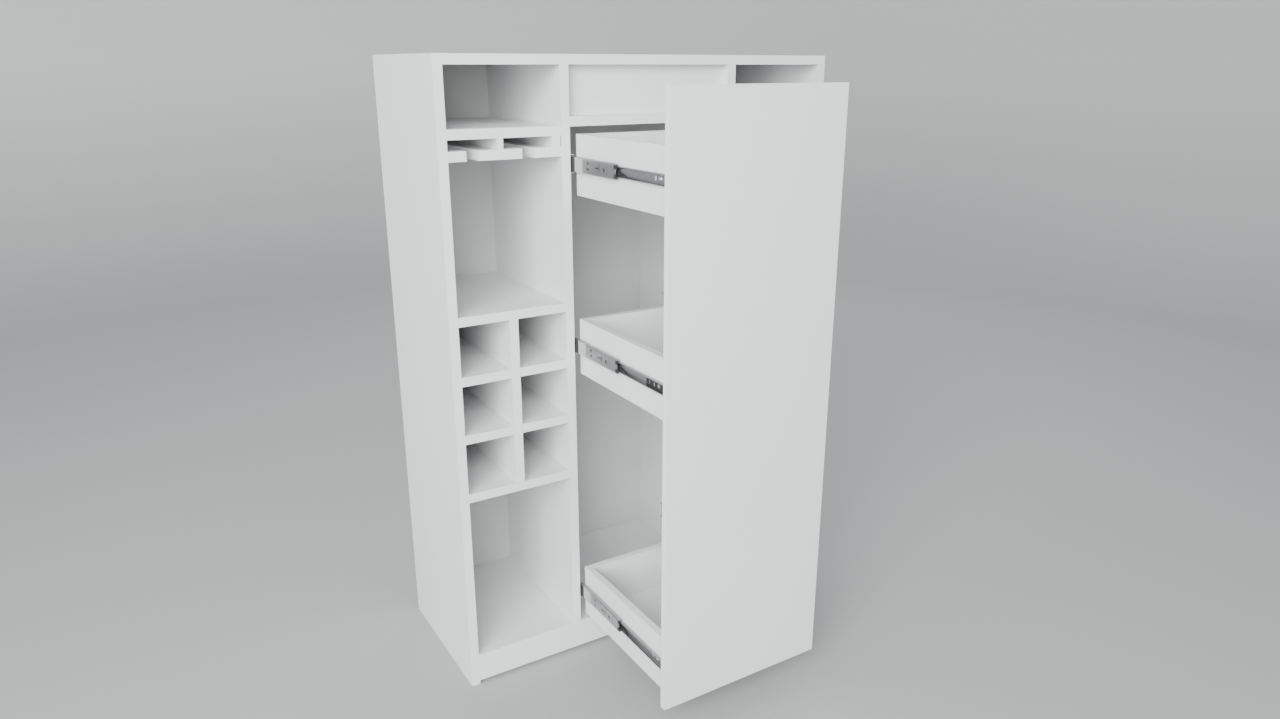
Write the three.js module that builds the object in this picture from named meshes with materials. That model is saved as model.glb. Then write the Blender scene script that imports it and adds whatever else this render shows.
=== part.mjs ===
// A free-standing white wine cabinet in three columns. Each outer column holds an open niche, a hanging
// rack for stemmed glasses, a block of six bottle cubbies and an open compartment. The middle column has a
// set-back fascia above a tall pull-out: one front panel that carries three trays, on three pairs of ball
// slides.
//
// Millimetres, +Z up, +Y towards the back. X = 0 is the middle of the cabinet, Y = 0 the plane of the
// carcass's front edges and Z = 0 the floor. The pull-out stands fully out, on its slides' end stops.
import * as THREE from "three";

// Carcass
const WIDTH = 770;
const HEIGHT = 1100;
const BOARD_DEPTH = 297; // from the front edges to the back panel
const BOARD = 16; // thickness of the carcass's coated boards
const BACK_SHEET = 3; // thickness of the back panel
const BACK_REVEAL = 1; // how far the back panel stays inside the carcass's outer edges
const MIDDLE_OPENING = 318; // clear width between the two dividers
const PLINTH_CLEARANCE = 7; // under the plinth rails
const PLINTH_HEIGHT = 38;
const PLINTH_SETBACK = 30; // of the rear rail, from the back panel

// Under the top panel
const SIDE_NICHE = 94;
const FASCIA_HEIGHT = 80; // the fascia over the pull-out
const FASCIA_SETBACK = 18; // from the carcass's front edges

// Glass racks
const FOOT_CHANNEL = 17; // height of the channel that the glasses' feet slide in
const STEM_SLOT = 20;
const OUTER_SLAT = 30;
const INNER_SLAT = 50;
const CENTRE_SPACER = 10;
const INNER_SPACER = 15.5;
const SPACER_GAP = 2; // between the inner spacer and the divider

// Bottle cubbies
const LOWER_COMPARTMENT = 305; // clear height under the block of cubbies
const CUBBY_HEIGHTS = [92, 87, 86]; // clear height of each row, from the lowest up
const HALVING_CLEARANCE = 0.3; // all round each halved joint

// Pull-out
const PULL_OUT_BOARD = 12; // thickness of the front panel and of the trays' boards
const FRONT_LAP = 3; // the front panel laps this far over its opening, at the sides and below
const FINGER_GAP = 26; // above the front panel, for the hand that pulls it
const TRAY_REAR_CLEARANCE = 9; // how much shallower the trays are than the boards of the carcass
const TRAY_HEIGHT = 100;
const BOTTOM_TRAY_CLEARANCE = 14.5; // above the base panel
const TOP_TRAY_CLEARANCE = 12; // under the shelf over the bay
const BOTTLE_SPACE = 387.5; // clear height between the bottom and middle trays

// Ball slides
const SLIDE_THICKNESS = 11;
const SLIDE_HEIGHT = 31;
const SLIDE_LENGTH = 200;
const SLIDE_SETBACK = 3; // from the carcass's front edges, and from the front panel
const SLIDE_ABOVE_TRAY_EDGE = 52; // from a tray's lower edge to the middle of its slides
const SHEET = 1.2;
const BEND_RADIUS = 2.2;
const BALL_GAP = 2.1; // between nested flanges, where the balls run
const WEB_GAP = 1.6; // between the cabinet member's web and the middle member's
const TIP_GAP = 1; // from the drawer member's flanges to the middle member's web
const FLANGE_SETBACK = 1.5; // from the middle member's flanges to the tray
const OUTER_FLANGE_SETBACK = 3.2; // from the cabinet member's flanges to the tray

// Places that follow from the sizes above
const middleHalf = MIDDLE_OPENING / 2;
const columnInner = middleHalf + BOARD;
const columnOuter = WIDTH / 2 - BOARD;
const baseBottom = PLINTH_CLEARANCE + PLINTH_HEIGHT;
const baseTop = baseBottom + BOARD;
const topUnderside = HEIGHT - BOARD;
const sideShelf = topUnderside - SIDE_NICHE - BOARD;
const middleShelf = topUnderside - FASCIA_HEIGHT - BOARD;

const melamine = new THREE.MeshStandardMaterial({ color: 0xeef0f0, roughness: 0.45, metalness: 0 });
const hardboard = new THREE.MeshStandardMaterial({ color: 0xe2e3e1, roughness: 0.6, metalness: 0 });
const zincedSteel = new THREE.MeshStandardMaterial({ color: 0xb4b8bb, roughness: 0.32, metalness: 0.95 });

// Every coordinate lies on a 1/64 mm grid, which 32-bit numbers hold exactly, so touching faces truly meet.
const GRID_STEPS = 64;
const grid = (value) => Math.round(value * GRID_STEPS) / GRID_STEPS;

// A rectangular board that fills the three spans.
function board(name, spanX, spanY, spanZ, material = melamine) {
  const spans = [spanX, spanY, spanZ].map((span) => span.map(grid));
  const sizes = spans.map(([low, high]) => high - low);
  const centre = spans.map(([low, high]) => (low + high) / 2);
  const mesh = new THREE.Mesh(new THREE.BoxGeometry(...sizes), material);
  mesh.name = name;
  mesh.position.set(...centre);
  return mesh;
}

const X = new THREE.Vector3(1, 0, 0);
const Y = new THREE.Vector3(0, 1, 0);
const Z = new THREE.Vector3(0, 0, 1);

// A solid of one outline, drawn on the first two axes and run along the third: a right-handed set.
function solidOf(outline, length, [first, second, third]) {
  const shape = new THREE.Shape(outline.map(([a, b]) => new THREE.Vector2(a, b)));
  const geometry = new THREE.ExtrudeGeometry(shape, { depth: length, bevelEnabled: false });
  return geometry.applyMatrix4(new THREE.Matrix4().makeBasis(first, second, third));
}

function shaped(name, geometry, place, material = melamine) {
  const mesh = new THREE.Mesh(geometry, material);
  mesh.name = name;
  mesh.position.set(...place.map(grid));
  return mesh;
}

// A span on the left (side -1) or right (side 1), from two distances from the cabinet's middle plane.
const across = (side, near, far) => (side < 0 ? [-far, -near] : [near, far]);
const onGrid = (outline) => outline.map((point) => point.map(grid));
const SIDES = [
  ["left", -1],
  ["right", 1],
];

const depth = [0, BOARD_DEPTH];
const carcass = new THREE.Group();
const fullWidth = [-columnOuter, columnOuter];

carcass.add(board("top_panel", fullWidth, depth, [topUnderside, HEIGHT]));
carcass.add(board("base_panel", fullWidth, depth, [baseBottom, baseTop]));
const plinthHeight = [PLINTH_CLEARANCE, baseBottom];
const plinthRear = BOARD_DEPTH - PLINTH_SETBACK;
carcass.add(board("plinth_front", fullWidth, [0, BOARD], plinthHeight));
carcass.add(board("plinth_rear", fullWidth, [plinthRear - BOARD, plinthRear], plinthHeight));
const backWidth = [BACK_REVEAL - WIDTH / 2, WIDTH / 2 - BACK_REVEAL];
const backDepth = [BOARD_DEPTH, BOARD_DEPTH + BACK_SHEET];
carcass.add(board("back_panel", backWidth, backDepth, [baseBottom, HEIGHT - BACK_REVEAL], hardboard));
const middleWidth = [-middleHalf, middleHalf];
const fasciaDepth = [FASCIA_SETBACK, FASCIA_SETBACK + BOARD];
carcass.add(board("middle_shelf", middleWidth, depth, [middleShelf, middleShelf + BOARD]));
carcass.add(board("middle_fascia", middleWidth, fasciaDepth, [middleShelf + BOARD, topUnderside]));
for (const [side, sign] of SIDES) {
  const clear = across(sign, columnInner, columnOuter);
  const divider = across(sign, middleHalf, columnInner);
  carcass.add(board(`${side}_side_panel`, across(sign, columnOuter, WIDTH / 2), depth, [0, HEIGHT]));
  carcass.add(board(`${side}_divider`, divider, depth, [baseTop, topUnderside]));
  carcass.add(board(`${side}_niche_shelf`, clear, depth, [sideShelf, sideShelf + BOARD]));
}

// The glass rack hangs under a column's niche: a slat against the side panel, a rail with a spacer above its
// middle, and a rail beside the divider with its spacer near the divider. Stems pass between them.
function rack(side, sign) {
  const spacerTop = sideShelf;
  const slatTop = spacerTop - FOOT_CHANNEL;
  const slatBottom = slatTop - BOARD;
  const outer = columnOuter - OUTER_SLAT;
  const inner = columnInner + INNER_SLAT;
  const centreSlat = [inner + STEM_SLOT, outer - STEM_SLOT];
  const centre = (centreSlat[0] + centreSlat[1]) / 2;
  const centreSpacer = [centre - CENTRE_SPACER / 2, centre + CENTRE_SPACER / 2];
  const innerSpacer = [columnInner + SPACER_GAP, columnInner + SPACER_GAP + INNER_SPACER];

  // A rail's outline, a slat with its spacer standing on it; distances are from the cabinet's middle plane.
  const rail = (slat, spacer) => [
    [slat[0], slatBottom],
    [slat[1], slatBottom],
    [slat[1], slatTop],
    [spacer[1], slatTop],
    [spacer[1], spacerTop],
    [spacer[0], spacerTop],
    [spacer[0], slatTop],
    [slat[0], slatTop],
  ];
  const railMesh = (name, slat, spacer) => {
    const outline = onGrid(rail(slat, spacer).map(([x, z]) => [sign * x, z]));
    const geometry = solidOf(outline, grid(BOARD_DEPTH), [X, Z, Y.clone().negate()]);
    return shaped(name, geometry, [0, BOARD_DEPTH, 0]);
  };
  const group = new THREE.Group();
  const outerSlat = across(sign, outer, columnOuter);
  group.add(board(`${side}_rack_outer_slat`, outerSlat, depth, [slatBottom, slatTop]));
  group.add(railMesh(`${side}_rack_centre_rail`, centreSlat, centreSpacer));
  group.add(railMesh(`${side}_rack_inner_rail`, [columnInner, inner], innerSpacer));
  return group;
}

// A block of cubbies, two wide: shelves above and below, and between them an upright and two more shelves
// that are halved into each other. The upright is whole at the front, and the shelves at the back.
function cubbies(side, sign) {
  const group = new THREE.Group();
  const clear = across(sign, columnInner, columnOuter);
  const bottomShelf = baseTop + LOWER_COMPARTMENT;
  const floor = bottomShelf + BOARD;
  const lowerShelf = floor + CUBBY_HEIGHTS[0];
  const upperShelf = lowerShelf + BOARD + CUBBY_HEIGHTS[1];
  const ceiling = upperShelf + BOARD + CUBBY_HEIGHTS[2];
  const middle = (sign * (columnInner + columnOuter)) / 2;
  const half = BOARD_DEPTH / 2;
  const slot = BOARD / 2 + HALVING_CLEARANCE;
  group.add(board(`${side}_cubby_bottom`, clear, depth, [bottomShelf, floor]));
  group.add(board(`${side}_cubby_top`, clear, depth, [ceiling, ceiling + BOARD]));

  const shelfOutline = onGrid([
    [clear[0], 0],
    [middle - slot, 0],
    [middle - slot, half + HALVING_CLEARANCE],
    [middle + slot, half + HALVING_CLEARANCE],
    [middle + slot, 0],
    [clear[1], 0],
    [clear[1], BOARD_DEPTH],
    [clear[0], BOARD_DEPTH],
  ]);
  const lower = solidOf(shelfOutline, grid(BOARD), [X, Y, Z]);
  const upper = lower.clone();
  group.add(shaped(`${side}_cubby_lower_shelf`, lower, [0, 0, lowerShelf]));
  group.add(shaped(`${side}_cubby_upper_shelf`, upper, [0, 0, upperShelf]));

  // The upright has one slot from the rear for each halved shelf.
  const slotFor = (shelf) => [
    [BOARD_DEPTH, shelf + BOARD / 2 - slot],
    [half, shelf + BOARD / 2 - slot],
    [half, shelf + BOARD / 2 + slot],
    [BOARD_DEPTH, shelf + BOARD / 2 + slot],
  ];
  const uprightOutline = onGrid([
    [0, floor],
    [BOARD_DEPTH, floor],
    ...slotFor(lowerShelf),
    ...slotFor(upperShelf),
    [BOARD_DEPTH, ceiling],
    [0, ceiling],
  ]);
  const upright = solidOf(uprightOutline, grid(BOARD), [Y, Z, X]);
  group.add(shaped(`${side}_cubby_upright`, upright, [middle - BOARD / 2, 0, 0]));
  return group;
}

for (const [side, sign] of SIDES) {
  carcass.add(rack(side, sign));
  carcass.add(cubbies(side, sign));
}

// The trays' levels, from each tray's lower edge.
const bottomTray = baseTop + BOTTOM_TRAY_CLEARANCE;
const levels = [
  ["bottom", bottomTray],
  ["middle", bottomTray + TRAY_HEIGHT + BOTTLE_SPACE],
  ["top", middleShelf - TOP_TRAY_CLEARANCE - TRAY_HEIGHT],
];

// Everything that comes out together. The group's own Y = 0 is the front panel's rear face. The pull-out
// travels so far that the trays' rear faces come out level with the carcass's front edges.
const trayDepth = BOARD_DEPTH - TRAY_REAR_CLEARANCE;
const pullOut = new THREE.Group();
pullOut.position.y = grid(-trayDepth);
const trayHalf = middleHalf - SLIDE_THICKNESS;
const frontHalf = middleHalf + FRONT_LAP;
const frontHeight = [baseTop - FRONT_LAP, topUnderside - FINGER_GAP];
pullOut.add(board("front_panel", [-frontHalf, frontHalf], [-PULL_OUT_BOARD, 0], frontHeight));

// A tray: the rear board runs the full width, and the sides and floor stand between it and the front panel.
function tray(level, edge) {
  const group = new THREE.Group();
  const inside = trayHalf - PULL_OUT_BOARD;
  const between = [0, trayDepth - PULL_OUT_BOARD];
  const rear = [trayDepth - PULL_OUT_BOARD, trayDepth];
  const height = [edge, edge + TRAY_HEIGHT];
  group.add(board(`${level}_tray_rear`, [-trayHalf, trayHalf], rear, height));
  group.add(board(`${level}_tray_floor`, [-inside, inside], between, [edge, edge + PULL_OUT_BOARD]));
  for (const [side, sign] of SIDES) {
    group.add(board(`${level}_tray_${side}_side`, across(sign, inside, trayHalf), between, height));
  }
  return group;
}

// Points along a bend, from one angle to another, in right angles.
const BEND_STEPS = 4;
function bend(centre, radius, from, to) {
  return Array.from({ length: BEND_STEPS + 1 }, (_, step) => {
    const angle = ((from + ((to - from) * step) / BEND_STEPS) * Math.PI) / 2;
    return [centre[0] + radius * Math.cos(angle), centre[1] + radius * Math.sin(angle)];
  });
}

// A rolled-steel channel, centred on its length and height: the web's face is on X = 0, and both flanges
// reach along +X.
function channel(height, reach) {
  const half = height / 2;
  const upperBend = [BEND_RADIUS, half - BEND_RADIUS];
  const lowerBend = [BEND_RADIUS, BEND_RADIUS - half];
  const inside = BEND_RADIUS - SHEET;
  const outline = onGrid([
    [reach, half - SHEET],
    [reach, half],
    ...bend(upperBend, BEND_RADIUS, 1, 2),
    ...bend(lowerBend, BEND_RADIUS, 2, 3),
    [reach, -half],
    [reach, SHEET - half],
    ...bend(lowerBend, inside, 3, 2),
    ...bend(upperBend, inside, 2, 1),
  ]);
  const length = grid(SLIDE_LENGTH);
  return solidOf(outline, length, [X, Z, Y.clone().negate()]).translate(0, length / 2, 0);
}

// One slide: the cabinet member on the divider, the drawer member on the tray's side, and between them a
// middle member that travels half as far. Distances across are from the divider's face.
function slide(level, side, sign, edge) {
  const turn = sign < 0 ? 0 : Math.PI;
  const height = edge + SLIDE_ABOVE_TRAY_EDGE;
  const middleHeight = SLIDE_HEIGHT - 2 * (SHEET + BALL_GAP);
  const drawerHeight = middleHeight - 2 * (SHEET + BALL_GAP);
  const middleWeb = SHEET + WEB_GAP;
  const drawerTip = middleWeb + SHEET + TIP_GAP;
  const cabinetY = SLIDE_SETBACK + SLIDE_LENGTH / 2;
  const drawerY = cabinetY - trayDepth;

  const member = (part, geometry, face, y) => {
    const name = `${level}_${side}_slide_${part}_member`;
    const mesh = shaped(name, geometry, [sign * face, y, height], zincedSteel);
    mesh.rotation.z = turn;
    return mesh;
  };
  const group = new THREE.Group();
  const cabinetMember = channel(SLIDE_HEIGHT, SLIDE_THICKNESS - OUTER_FLANGE_SETBACK);
  group.add(member("cabinet", cabinetMember, middleHalf, cabinetY));
  const middleMember = channel(middleHeight, SLIDE_THICKNESS - FLANGE_SETBACK - middleWeb);
  group.add(member("middle", middleMember, middleHalf - middleWeb, (cabinetY + drawerY) / 2));

  // The drawer member faces the other way: its web is on the tray.
  const drawerMember = channel(drawerHeight, SLIDE_THICKNESS - drawerTip).rotateZ(Math.PI);
  group.add(member("drawer", drawerMember, trayHalf, drawerY));
  return group;
}

const slides = new THREE.Group();
for (const [level, edge] of levels) {
  pullOut.add(tray(level, edge));
  for (const [side, sign] of SIDES) {
    slides.add(slide(level, side, sign, edge));
  }
}

const cabinet = new THREE.Group();
cabinet.add(carcass, slides, pullOut);
export default cabinet;
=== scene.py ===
import math
from collections import namedtuple

import bmesh
import bpy
from mathutils import Matrix, Vector


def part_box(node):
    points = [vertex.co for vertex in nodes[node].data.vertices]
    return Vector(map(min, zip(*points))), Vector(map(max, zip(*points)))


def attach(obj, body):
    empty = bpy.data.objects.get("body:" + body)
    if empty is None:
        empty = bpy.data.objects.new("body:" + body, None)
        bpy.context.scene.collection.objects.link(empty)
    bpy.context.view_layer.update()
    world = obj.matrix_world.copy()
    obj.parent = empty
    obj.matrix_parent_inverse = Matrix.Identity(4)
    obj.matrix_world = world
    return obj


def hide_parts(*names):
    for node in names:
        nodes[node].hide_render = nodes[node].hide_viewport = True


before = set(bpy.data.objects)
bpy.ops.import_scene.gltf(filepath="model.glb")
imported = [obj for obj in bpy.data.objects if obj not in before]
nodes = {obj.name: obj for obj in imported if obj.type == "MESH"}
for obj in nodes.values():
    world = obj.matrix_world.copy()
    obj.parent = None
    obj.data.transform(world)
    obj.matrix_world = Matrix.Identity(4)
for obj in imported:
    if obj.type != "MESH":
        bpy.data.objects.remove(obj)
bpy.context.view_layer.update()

# ---------------------------------------------------------------------------------------------------------
# Studio
# A pale matt floor that curves up into a round backdrop, so that no edge shows behind the cabinet.
# It is painted board, lit by one large soft light at the left front, a weaker one behind, and the room.
# Its walls also glow, rising from the floor and brighter at the left than the right: painted light.
# ---------------------------------------------------------------------------------------------------------
FLOOR_RADIUS = 3.3
FLOOR_DROP = 0.0004
BACKDROP_BEND = 1.2
BACKDROP_HEIGHT = 2.6
BACKDROP_STEPS = 96
BEND_STEPS = 12
FLOOR_COLOUR = (0.39, 0.405, 0.40, 1)
# Painted light: how strongly the backdrop glows at its left and right, and the heights it fades in over.
LEFT_GLOW = 0.50
RIGHT_GLOW = 0.22
GLOW_FROM = 0.05
GLOW_FULL = 1.1
GLOW_COLOUR = (0.95, 1, 0.98)
ROOM_COLOUR = (0.93, 0.97, 1, 1)
ROOM_LIGHT = 0.8
CAMERA_PLACE = (-0.870, -1.371, 1.083)
CAMERA_PITCH = 17.74
CAMERA_YAW = 31.65
CAMERA_LENS = 25.88


def link(piece):
    bpy.context.scene.collection.objects.link(piece)
    return piece


def new_piece(name, mesh, material=None):
    """A named object that holds the mesh, with its material."""
    if material:
        mesh.materials.clear()
        mesh.materials.append(material)
    return link(bpy.data.objects.new(name, mesh))


def mesh_from(name, build, smooth_angle=0.6):
    """A mesh filled by build(bm), with its faces outwards and its round stretches smooth."""
    bm = bmesh.new()
    build(bm)
    bmesh.ops.recalc_face_normals(bm, faces=bm.faces)
    mesh = bpy.data.meshes.new(name)
    bm.to_mesh(mesh)
    bm.free()
    mesh.shade_smooth()
    mesh.set_sharp_from_angle(angle=smooth_angle)
    return mesh


def new_material(name):
    """A new material, its node tree and its Principled shader."""
    material = bpy.data.materials.new(name)
    material.use_nodes = True
    tree = material.node_tree
    shader = tree.nodes["Principled BSDF"]
    return material, tree, shader


def feed(tree, socket, value):
    """Gives an input its value, or links it to another node's output."""
    if isinstance(value, bpy.types.NodeSocket):
        tree.links.new(value, socket)
    else:
        socket.default_value = value


def add_node(tree, kind, values=None, **settings):
    """A node with its settings, and its inputs given by name: a value, or an output socket to link."""
    node = tree.nodes.new(kind)
    for key, value in settings.items():
        setattr(node, key, value)
    for key, value in (values or {}).items():
        feed(tree, node.inputs[key], value)
    return node


def maths(tree, operation, first, second=0.0, clamp=False):
    node = add_node(tree, "ShaderNodeMath", operation=operation, use_clamp=clamp)
    feed(tree, node.inputs[0], first)
    feed(tree, node.inputs[1], second)
    return node.outputs["Value"]


def blend_colours(tree, factor, first, second):
    """A mix of two colours by a factor, any of which may be an output socket."""
    node = add_node(tree, "ShaderNodeMix", {"Factor": factor, "A": first, "B": second}, data_type="RGBA")
    return node.outputs["Result"]


def scaled(tree, colour, factor):
    """A colour times a factor, either of which may be an output socket."""
    node = add_node(tree, "ShaderNodeVectorMath", {"Vector": colour, "Scale": factor}, operation="SCALE")
    return node.outputs["Vector"]


def darker(colour, share):
    """The colour with each of its parts reduced to a share of it."""
    return [share * part for part in colour[:3]] + [1]


def studio_profile():
    """(radius, height) points from the floor's middle out to its edge, round the bend and up."""
    points = [(FLOOR_RADIUS * share, 0.0) for share in (0.25, 0.5, 0.75, 1.0)]
    for step in range(1, BEND_STEPS + 1):
        angle = step / BEND_STEPS * math.pi / 2
        points.append((FLOOR_RADIUS + BACKDROP_BEND * math.sin(angle),
                       BACKDROP_BEND * (1 - math.cos(angle))))
    points.append((FLOOR_RADIUS + BACKDROP_BEND, BACKDROP_HEIGHT))
    return points


def build_studio(bm):
    rings = []
    for radius, height in studio_profile():
        ring = []
        for step in range(BACKDROP_STEPS):
            angle = 2 * math.pi * step / BACKDROP_STEPS
            across, back = radius * math.cos(angle), radius * math.sin(angle)
            ring.append(bm.verts.new((across, back, height - FLOOR_DROP)))
        rings.append(ring)
    bm.faces.new(rings[0])
    for inner, outer in zip(rings, rings[1:]):
        for step in range(BACKDROP_STEPS):
            after = (step + 1) % BACKDROP_STEPS
            bm.faces.new((inner[step], inner[after], outer[after], outer[step]))


studio_material, tree, shader = new_material("studio_paint_and_glow")
place = add_node(tree, "ShaderNodeTexCoord").outputs["Object"]
mottle = add_node(tree, "ShaderNodeTexNoise", {"Vector": place, "Scale": 1.3, "Detail": 3})
tone = blend_colours(tree, mottle.outputs["Fac"], FLOOR_COLOUR, darker(FLOOR_COLOUR, 0.97))
tree.links.new(tone, shader.inputs["Base Color"])
shader.inputs["Roughness"].default_value = 0.8
shader.inputs["Specular IOR Level"].default_value = 0.2
axes = add_node(tree, "ShaderNodeSeparateXYZ", {"Vector": place})
# The backdrop's glow is painted light: strongest high on the walls and at the left, none on the floor.
rise = add_node(tree, "ShaderNodeMapRange",
                {"Value": axes.outputs["Z"], "From Min": GLOW_FROM, "From Max": GLOW_FULL})
sideways = add_node(tree, "ShaderNodeMapRange",
                    {"Value": axes.outputs["X"], "From Min": -FLOOR_RADIUS, "From Max": FLOOR_RADIUS,
                     "To Min": LEFT_GLOW, "To Max": RIGHT_GLOW})
glow = maths(tree, "MULTIPLY", rise.outputs["Result"], sideways.outputs["Result"])
tree.links.new(scaled(tree, GLOW_COLOUR, glow), shader.inputs["Emission Color"])
shader.inputs["Emission Strength"].default_value = 1.0
studio = new_piece("studio_floor", mesh_from("studio_floor", build_studio), studio_material)

camera_data = bpy.data.cameras.new("camera")
camera_data.lens = CAMERA_LENS
camera_data.clip_start = 0.02
camera = link(bpy.data.objects.new("camera", camera_data))
camera.location = CAMERA_PLACE
camera.rotation_euler = (math.radians(90 - CAMERA_PITCH), 0, math.radians(-CAMERA_YAW))
bpy.context.scene.camera = camera


def soft_light(name, place, target, size, power, spread):
    """A square area light turned to its target, fanning out by spread degrees, unseen by the camera."""
    data = bpy.data.lights.new(name, "AREA")
    data.shape = "SQUARE"
    data.size = size
    data.energy = power
    data.spread = math.radians(spread)
    light = link(bpy.data.objects.new(name, data))
    light.location = place
    light.rotation_euler = (Vector(target) - Vector(place)).to_track_quat("-Z", "Y").to_euler()
    light.visible_camera = False
    return light


soft_light("key_light", place=(-2.6, -2.6, 2.0), target=(0, 0, 0.55), size=2.8, power=188, spread=125)
soft_light("back_light", place=(2.2, 2.6, 2.4), target=(0, 0, 0.6), size=2.2, power=30, spread=150)
room = bpy.data.worlds.new("room")
room.use_nodes = True
room.node_tree.nodes["Background"].inputs["Color"].default_value = ROOM_COLOUR
room.node_tree.nodes["Background"].inputs["Strength"].default_value = ROOM_LIGHT
bpy.context.scene.world = room

# ---------------------------------------------------------------------------------------------------------
# Carcass
# Coated chipboard cut on a panel saw, 16 mm thick, its faces pressed with white melamine paper and its
# edges closed with a thin white band. Dowels and cam fittings inside the boards hold them together.
# ---------------------------------------------------------------------------------------------------------
EDGE_ROUNDING = 0.0006
EDGE_BAND = 0.0009
MELAMINE_WHITE = (0.75, 0.765, 0.765, 1)
BAND_WHITE = (0.765, 0.78, 0.78, 1)
RUBBED_GREY = (0.56, 0.56, 0.545, 1)
SEAM_WIDTH = 0.00022
WEAR_CONTRAST = 5.0


def new_group(name, inputs, outputs):
    """A shader node group with named float, vector and colour sockets: its tree, inputs and outputs."""
    group = bpy.data.node_groups.new(name, "ShaderNodeTree")
    for direction, sockets in (("INPUT", inputs), ("OUTPUT", outputs)):
        for socket, kind in sockets.items():
            group.interface.new_socket(name=socket, in_out=direction, socket_type=f"NodeSocket{kind}")
    return group, group.nodes.new("NodeGroupInput"), group.nodes.new("NodeGroupOutput")


def place_group(tree, group, values):
    """The group as a node of a material, with the material's own values in its inputs."""
    return add_node(tree, "ShaderNodeGroup", values, node_tree=group)


def edge_wear_group():
    """Where an edge has been rubbed: 1 on a convex edge, broken up along its length, and 0 elsewhere."""
    inputs = {"Vector": "Vector", "Width": "Float", "Patchiness": "Float"}
    group, given, result = new_group("edge_wear", inputs, {"Mask": "Float"})
    rounded = add_node(group, "ShaderNodeBevel", {"Radius": given.outputs["Width"]}, samples=6)
    flat = add_node(group, "ShaderNodeNewGeometry")
    closeness = add_node(group, "ShaderNodeVectorMath", operation="DOT_PRODUCT")
    group.links.new(rounded.outputs["Normal"], closeness.inputs[0])
    group.links.new(flat.outputs["Normal"], closeness.inputs[1])
    turned = maths(group, "SUBTRACT", 1.0, closeness.outputs["Value"])
    edge = maths(group, "MULTIPLY", turned, WEAR_CONTRAST, clamp=True)
    patches = add_node(group, "ShaderNodeTexNoise",
                       {"Vector": given.outputs["Vector"], "Scale": 34.0, "Detail": 5.0, "Roughness": 0.6})
    rubbed = add_node(group, "ShaderNodeMapRange", {"Value": patches.outputs["Fac"], "From Max": 0.68})
    group.links.new(given.outputs["Patchiness"], rubbed.inputs["From Min"])
    group.links.new(maths(group, "MULTIPLY", edge, rubbed.outputs["Result"]), result.inputs["Mask"])
    return group


def pressed_paper_group():
    """The pressed surface of melamine paper: a fine pebble a little under a millimetre across."""
    group, given, result = new_group("pressed_paper", {"Vector": "Vector", "Pebble Size": "Float"},
                                     {"Height": "Float", "Shade": "Float"})
    scale = maths(group, "DIVIDE", 1.0, given.outputs["Pebble Size"])
    pebble = add_node(group, "ShaderNodeTexVoronoi",
                      {"Vector": given.outputs["Vector"], "Scale": scale}, feature="SMOOTH_F1")
    grain = add_node(group, "ShaderNodeTexNoise",
                     {"Vector": given.outputs["Vector"], "Scale": maths(group, "MULTIPLY", scale, 0.45),
                      "Detail": 4.0})
    pebbled = maths(group, "MULTIPLY", pebble.outputs["Distance"], 0.6)
    both = maths(group, "ADD", pebbled, grain.outputs["Fac"])
    group.links.new(both, result.inputs["Height"])
    group.links.new(grain.outputs["Fac"], result.inputs["Shade"])
    return group


def handling_group():
    """What hands and cloths leave on a smooth coat: broad smears, and fine scuffs that run one way."""
    outputs = {"Smears": "Float", "Scuffs": "Float"}
    group, given, result = new_group("handling", {"Vector": "Vector"}, outputs)
    smears = add_node(group, "ShaderNodeTexNoise",
                      {"Vector": given.outputs["Vector"], "Scale": 5.5, "Detail": 6.0, "Distortion": 0.8})
    stretched = add_node(group, "ShaderNodeMapping",
                         {"Vector": given.outputs["Vector"], "Scale": (9, 9, 130)})
    scuffs = add_node(group, "ShaderNodeTexNoise",
                      {"Vector": stretched.outputs["Vector"], "Scale": 3.0, "Detail": 3.0})
    thin = add_node(group, "ShaderNodeMapRange",
                    {"Value": scuffs.outputs["Fac"], "From Min": 0.62, "From Max": 0.8})
    group.links.new(smears.outputs["Fac"], result.inputs["Smears"])
    group.links.new(thin.outputs["Result"], result.inputs["Scuffs"])
    return group


def band_seam_group():
    """The hairline where an edge band meets the coat: 1 on the line at a distance inside the plane."""
    group, given, result = new_group("band_seam", {"Distance": "Float", "Band": "Float"},
                                     {"Seam": "Float", "On Band": "Float"})
    offset = maths(group, "SUBTRACT", given.outputs["Distance"], given.outputs["Band"])
    line = add_node(group, "ShaderNodeMapRange",
                    {"Value": maths(group, "ABSOLUTE", offset), "From Max": SEAM_WIDTH,
                     "To Min": 1.0, "To Max": 0.0})
    group.links.new(line.outputs["Result"], result.inputs["Seam"])
    group.links.new(maths(group, "LESS_THAN", offset, 0.0), result.inputs["On Band"])
    return group


edge_wear = edge_wear_group()
pressed_paper = pressed_paper_group()
handling = handling_group()
band_seam = band_seam_group()


def add_bump(tree, shader, height, strength, distance):
    """Raises and lowers the shader's surface by a height socket, over a distance in metres."""
    bump = add_node(tree, "ShaderNodeBump", {"Strength": strength, "Distance": distance, "Height": height})
    tree.links.new(bump.outputs["Normal"], shader.inputs["Normal"])


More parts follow.
